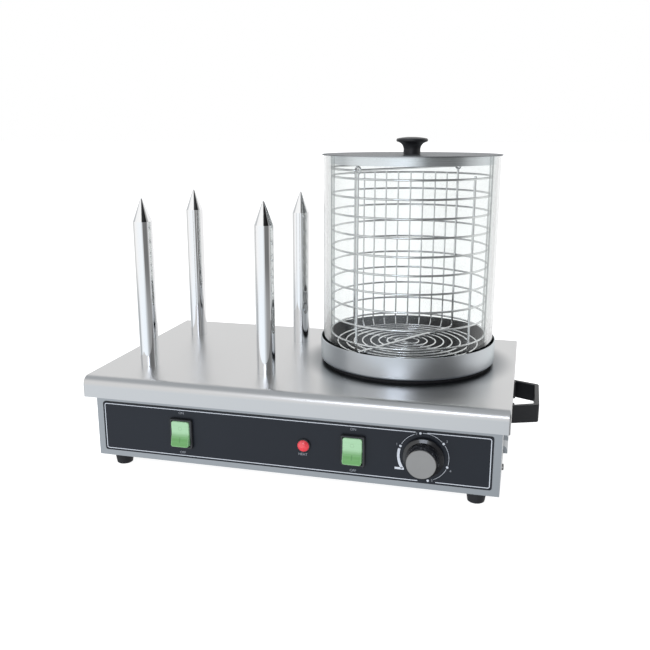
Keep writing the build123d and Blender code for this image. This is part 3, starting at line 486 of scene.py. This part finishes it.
def ribbon(line, widths):
    """Thin raised strip of ink on the panel's face, along (x, z) points."""
    count = len(line)
    points, faces = [], []
    for i, (x, z) in enumerate(line):
        before, after = line[max(i - 1, 0)], line[min(i + 1, count - 1)]
        along = Vector((after[0] - before[0], after[1] - before[1])).normalized()
        across = Vector((-along.y, along.x)) * widths[i] / 2
        for side, out in ((1, 0), (1, 1), (-1, 1), (-1, 0)):
            points.append((x + side * across.x, panel_face - out * INK, z + side * across.y))
    for i in range(count - 1):
        a, b = 4 * i, 4 * (i + 1)
        for k in range(4):
            m = (k + 1) % 4
            faces.append([a + k, b + k, b + m, a + m])
    last = 4 * (count - 1)
    faces += [[0, 1, 2, 3], [last + 3, last + 2, last + 1, last]]
    return points, faces


def arc(radius, start, end, steps=24):
    """(x, z) points round the dial, angles in degrees."""
    return [(dial.x + radius * math.cos(math.radians(start + (end - start) * i / steps)),
             dial.z + radius * math.sin(math.radians(start + (end - start) * i / steps)))
            for i in range(steps + 1)]


def lettering(name, words, x, z, height):
    """Flat print on the panel, centred at a place, with capitals of a height."""
    capital, half_thick = 0.69, 0.03 * MM
    text = bpy.data.curves.new(name, "FONT")
    text.body = words
    text.size = height / capital
    text.align_x, text.align_y = "CENTER", "CENTER"
    text.extrude = half_thick
    text.resolution_u = 3
    text.materials.append(faint)
    thing = bpy.data.objects.new(name, text)
    thing.location = (x, panel_face - half_thick, z)
    thing.rotation_euler = (math.radians(90), 0, 0)
    bpy.context.collection.objects.link(thing)
    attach(thing, "casing")


# ------------------------------------------------------------------ panel print
def border_line():
    """Silver line round the panel, left open above and below the dial."""
    inset, radius, width = 2.6 * MM, 2.2 * MM, 0.9 * MM
    x0, x1 = panel_low.x + inset, panel_high.x - inset
    z0, z1 = panel_low.z + inset, panel_high.z - inset
    gap_top = (dial.x - 9.5 * MM, dial.x + 3.5 * MM)
    gap_low = (dial.x - 6.0 * MM, dial.x + 14.0 * MM)

    def corner(cx, cz, start):
        return [(cx + radius * math.cos(math.radians(start + 10 * i)),
                 cz + radius * math.sin(math.radians(start + 10 * i))) for i in range(10)]

    right = [(gap_top[1], z1)] + corner(x1 - radius, z1 - radius, 0)[::-1]
    right += corner(x1 - radius, z0 + radius, 270)[::-1] + [(gap_low[1], z0)]
    left = [(gap_low[0], z0)] + corner(x0 + radius, z0 + radius, 180)[::-1]
    left += corner(x0 + radius, z1 - radius, 90)[::-1] + [(gap_top[0], z1)]
    shapes = [ribbon(line, [width] * len(line)) for line in (right, left)]
    piece("border_line", *gathered(shapes), "casing", "panel_print", silver)


def dial_marks():
    """Five dots, thin arcs between them, and the thick sweep up from off."""
    marks = (157.5, 98.5, 39.5, -19.5, -78.5)
    gaps = ((5.5, 13.5), (5.5, 5.5), (5.5, 5.5), (5.5, 13.5))
    ring, thin, off_angle = 28.0 * MM, 0.42 * MM, 214.0
    number_places = ((157.5, 32.4), (107.5, 28.2), (39.5, 32.6), (-24.0, 33.0), (-69.5, 28.6))
    shapes = []
    dot = [(0, 0.06 * MM), (1.1 * MM, 0.06 * MM), (1.4 * MM, 0.04 * MM), (1.45 * MM, 0),
           (0, 0)]
    for angle in marks:
        x, z = arc(ring, angle, angle, 1)[0]
        shapes.append(turned(dot, (x, panel_face, z), (0, -1, 0), 20))
    for first, second, (before, after) in zip(marks, marks[1:], gaps):
        line = arc(ring, first - before, second + after)
        shapes.append(ribbon(line, [thin] * len(line)))
    sweep_line = arc(ring, off_angle, 164.0)
    taper = [(3.2 - 0.5 * i / 24) * MM for i in range(25)]
    shapes.append(ribbon(sweep_line, taper))
    x, z = arc(ring, off_angle, off_angle, 1)[0]
    shapes.append(ribbon([(x - 8.6 * MM, z - 0.4 * MM), (x + 1.8 * MM, z - 0.4 * MM)],
                         [2.6 * MM] * 2))
    piece("dial_marks", *gathered(shapes), "casing", "panel_print", silver)
    for number, (angle, out) in enumerate(number_places, 1):
        x, z = arc(out * MM, angle, angle, 1)[0]
        lettering("dial_number_%d" % number, str(number), x, z, 2.9 * MM)


def labels():
    """Words above and below each switch and under the lamp."""
    height, away = 3.0 * MM, 6.4 * MM
    for side in ("left", "right"):
        low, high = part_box(side + "_switch_body")
        x = middle(side + "_switch_body").x
        lettering(side + "_on_label", "ON", x, high.z + away, height)
        lettering(side + "_off_label", "OFF", x, low.z - away, height)
    lettering("heat_label", "HEAT", lamp.x - 1.1 * MM, lamp.z - 11.4 * MM, height)


border_line()
dial_marks()
labels()


# ------------------------------------------------------------------ basket welds
def wire_welds():
    """Small beads where the upright wires meet the rings."""
    draw = random.Random(4)
    rings = nodes["basket_rings"].data
    heights = sorted({round(v.co.z, 4) for v in rings.vertices})
    levels = []
    for z in heights:
        if not levels or z - levels[-1][0] > 5 * MM:
            levels.append([z, z])
        levels[-1][1] = z
    bead_r = size("basket_rings").x / 2 - 2.2 * MM
    bead = [(0, -1.0), (0.7, -0.75), (1.0, 0), (0.7, 0.75), (0, 1.0)]
    shapes = []
    angles = [MAIN_WIRE + 90 * i for i in range(4)]
    angles += [MAIN_WIRE + FINE_WIRE * i for i in range(1, 9)]
    for low, high in levels:
        z = (low + high) / 2
        for angle in angles:
            a = math.radians(angle)
            big = draw.uniform(1.25, 1.5) * MM
            out = Vector((math.cos(a), math.sin(a), 0))
            origin = Vector((pan.x, pan.y, z)) + out * bead_r
            shapes.append(turned([(r * big, h * big) for r, h in bead], origin, out, 10))
    piece("wire_welds", *gathered(shapes), "basket", "basket_wire", wire_chrome, 60.0)


wire_welds()


# ------------------------------------------------------------------ stage
def studio():
    """White to the eye, and for what shiny faces mirror, a room of lit and dark walls.
    Each wall is a row of (degrees, light, cast) stops, 0 straight ahead of the object and
    positive to the right, for three heights."""
    world = bpy.data.worlds.new("studio")
    bpy.context.scene.world = world
    world.use_nodes = True
    tree = Tree(world.node_tree)
    ahead = (0.25, -0.968, 0)
    right = (0.968, 0.25, 0)
    way = tree.node("ShaderNodeTexCoord", {}, {}, out=0)
    z = tree.axes(way)[2]
    along = tree.vector("DOT_PRODUCT", way, ahead, out=1)
    across = tree.vector("DOT_PRODUCT", way, right, out=1)
    turn = across.maths("ARCTAN2", along) / (2 * math.pi) + 0.5

    def tone(value, cast=0.0):
        return (value * (1 - cast), value, value * (1 + cast), 1)

    def room(stops):
        return tree.node("ShaderNodeValToRGB", {"stops": [
            (degrees / 360 + 0.5, tone(*light)) for degrees, *light in stops]}, {0: turn})

    def upper(dark, dim, edge):
        return room([(-180, 1.0), (-128, 0.95), (-118, 0.55, 0.03), (-98, 0.6, 0.03), (-88, 1.0),
                     (-4, 1.05), (4, dark), (62, dark), (70, dim), (88, edge), (100, 1.0),
                     (180, 1.0)])

    high = tree.mix(z.step(0.42, 0.50), upper(0.23, 0.4, 0.55), upper(0.01, 0.32, 0.5))
    low = room([(-180, 0.97), (-140, 0.95), (-125, 0.70), (-106, 0.72), (-95, 1.0),
                (-10, 1.03, 0.04), (6, 0.75, 0.03), (12, 0.2), (50, 0.17), (62, 0.28),
                (72, 0.68), (100, 0.9), (180, 1.0)])
    deep = room([(-180, 0.75), (-128, 0.78, 0.02), (-112, 0.42, 0.05), (-95, 0.5, 0.05),
                 (-78, 1.0, 0.04), (-46, 1.04, 0.06), (-12, 1.0, 0.06), (0, 0.7, 0.05),
                 (22, 0.35, 0.02), (58, 0.30), (76, 0.7, 0.02), (100, 1.0), (180, 1.0)])
    front = tree.mix(z.step(-0.225, -0.150), deep, low)
    front = tree.mix(z.step(-0.035, 0.0), front, high)
    overhead = tree.mix(z.step(0.55, 0.85), front, tone(0.55, 0.05))
    room_light = tree.mix(z.step(-0.75, -0.45), tone(0.12), overhead)
    seen = tree.node("ShaderNodeLightPath", {}, {}, out=0)
    colour = tree.mix(seen, room_light, (1, 1, 1, 1))
    back = world.node_tree.nodes["Background"]
    world.node_tree.links.new(colour.socket, back.inputs["Color"])
    back.inputs["Strength"].default_value = 1.0


def floor():
    """Wide pale floor that shiny faces don't mirror."""
    half = 30.0
    mesh = bpy.data.meshes.new("floor")
    mesh.from_pydata([(-half, -half, 0), (half, -half, 0), (half, half, 0), (-half, half, 0)],
                     [], [(0, 1, 2, 3)])
    paint = Finish("pale_floor", {"Roughness": 0.9, "Specular IOR Level": 0.1,
                                  "Emission Color": (1, 1, 1, 1), "Emission Strength": 0.9})
    cloud = paint.noise((2, 2, 2), detail=1.0)
    paint.tints(cloud, grey(0.55), grey(0.57))
    mesh.materials.append(paint.material)
    thing = bpy.data.objects.new("floor", mesh)
    thing.visible_glossy = False
    bpy.context.collection.objects.link(thing)


def lamp_panel(name, place, target, power, width, height, colour=(1, 1, 1), seen=True):
    """Rectangular light aimed at a target; shiny faces mirror it where seen."""
    light = bpy.data.lights.new(name, "AREA")
    light.shape = "RECTANGLE"
    light.size, light.size_y = width, height
    light.energy = power
    light.color = colour
    thing = bpy.data.objects.new(name, light)
    thing.location = place
    thing.rotation_euler = (Vector(target) - Vector(place)).to_track_quat("-Z", "Y").to_euler()
    thing.visible_glossy = seen
    bpy.context.collection.objects.link(thing)


def camera():
    lens = bpy.data.cameras.new("camera")
    lens.lens, lens.sensor_width = 43.26, 36.0
    thing = bpy.data.objects.new("camera", lens)
    thing.location = (0.25348, -0.9403, 0.39975)
    thing.rotation_euler = (math.radians(76.16), 0, math.radians(14.47))
    bpy.context.collection.objects.link(thing)
    bpy.context.scene.camera = thing


studio()
floor()
lamp_panel("overhead", (-0.3, -0.2, 1.7), (0, 0, 0.1), 9.0, 1.6, 1.2, seen=False)
lamp_panel("window", (0.03, -1.2, 0.68), tuple(dial), 1.8, 0.45, 0.22, (0.78, 0.86, 1.0))
camera()
bpy.context.scene.view_settings.view_transform = "Standard"

bpy.context.view_layer.update()
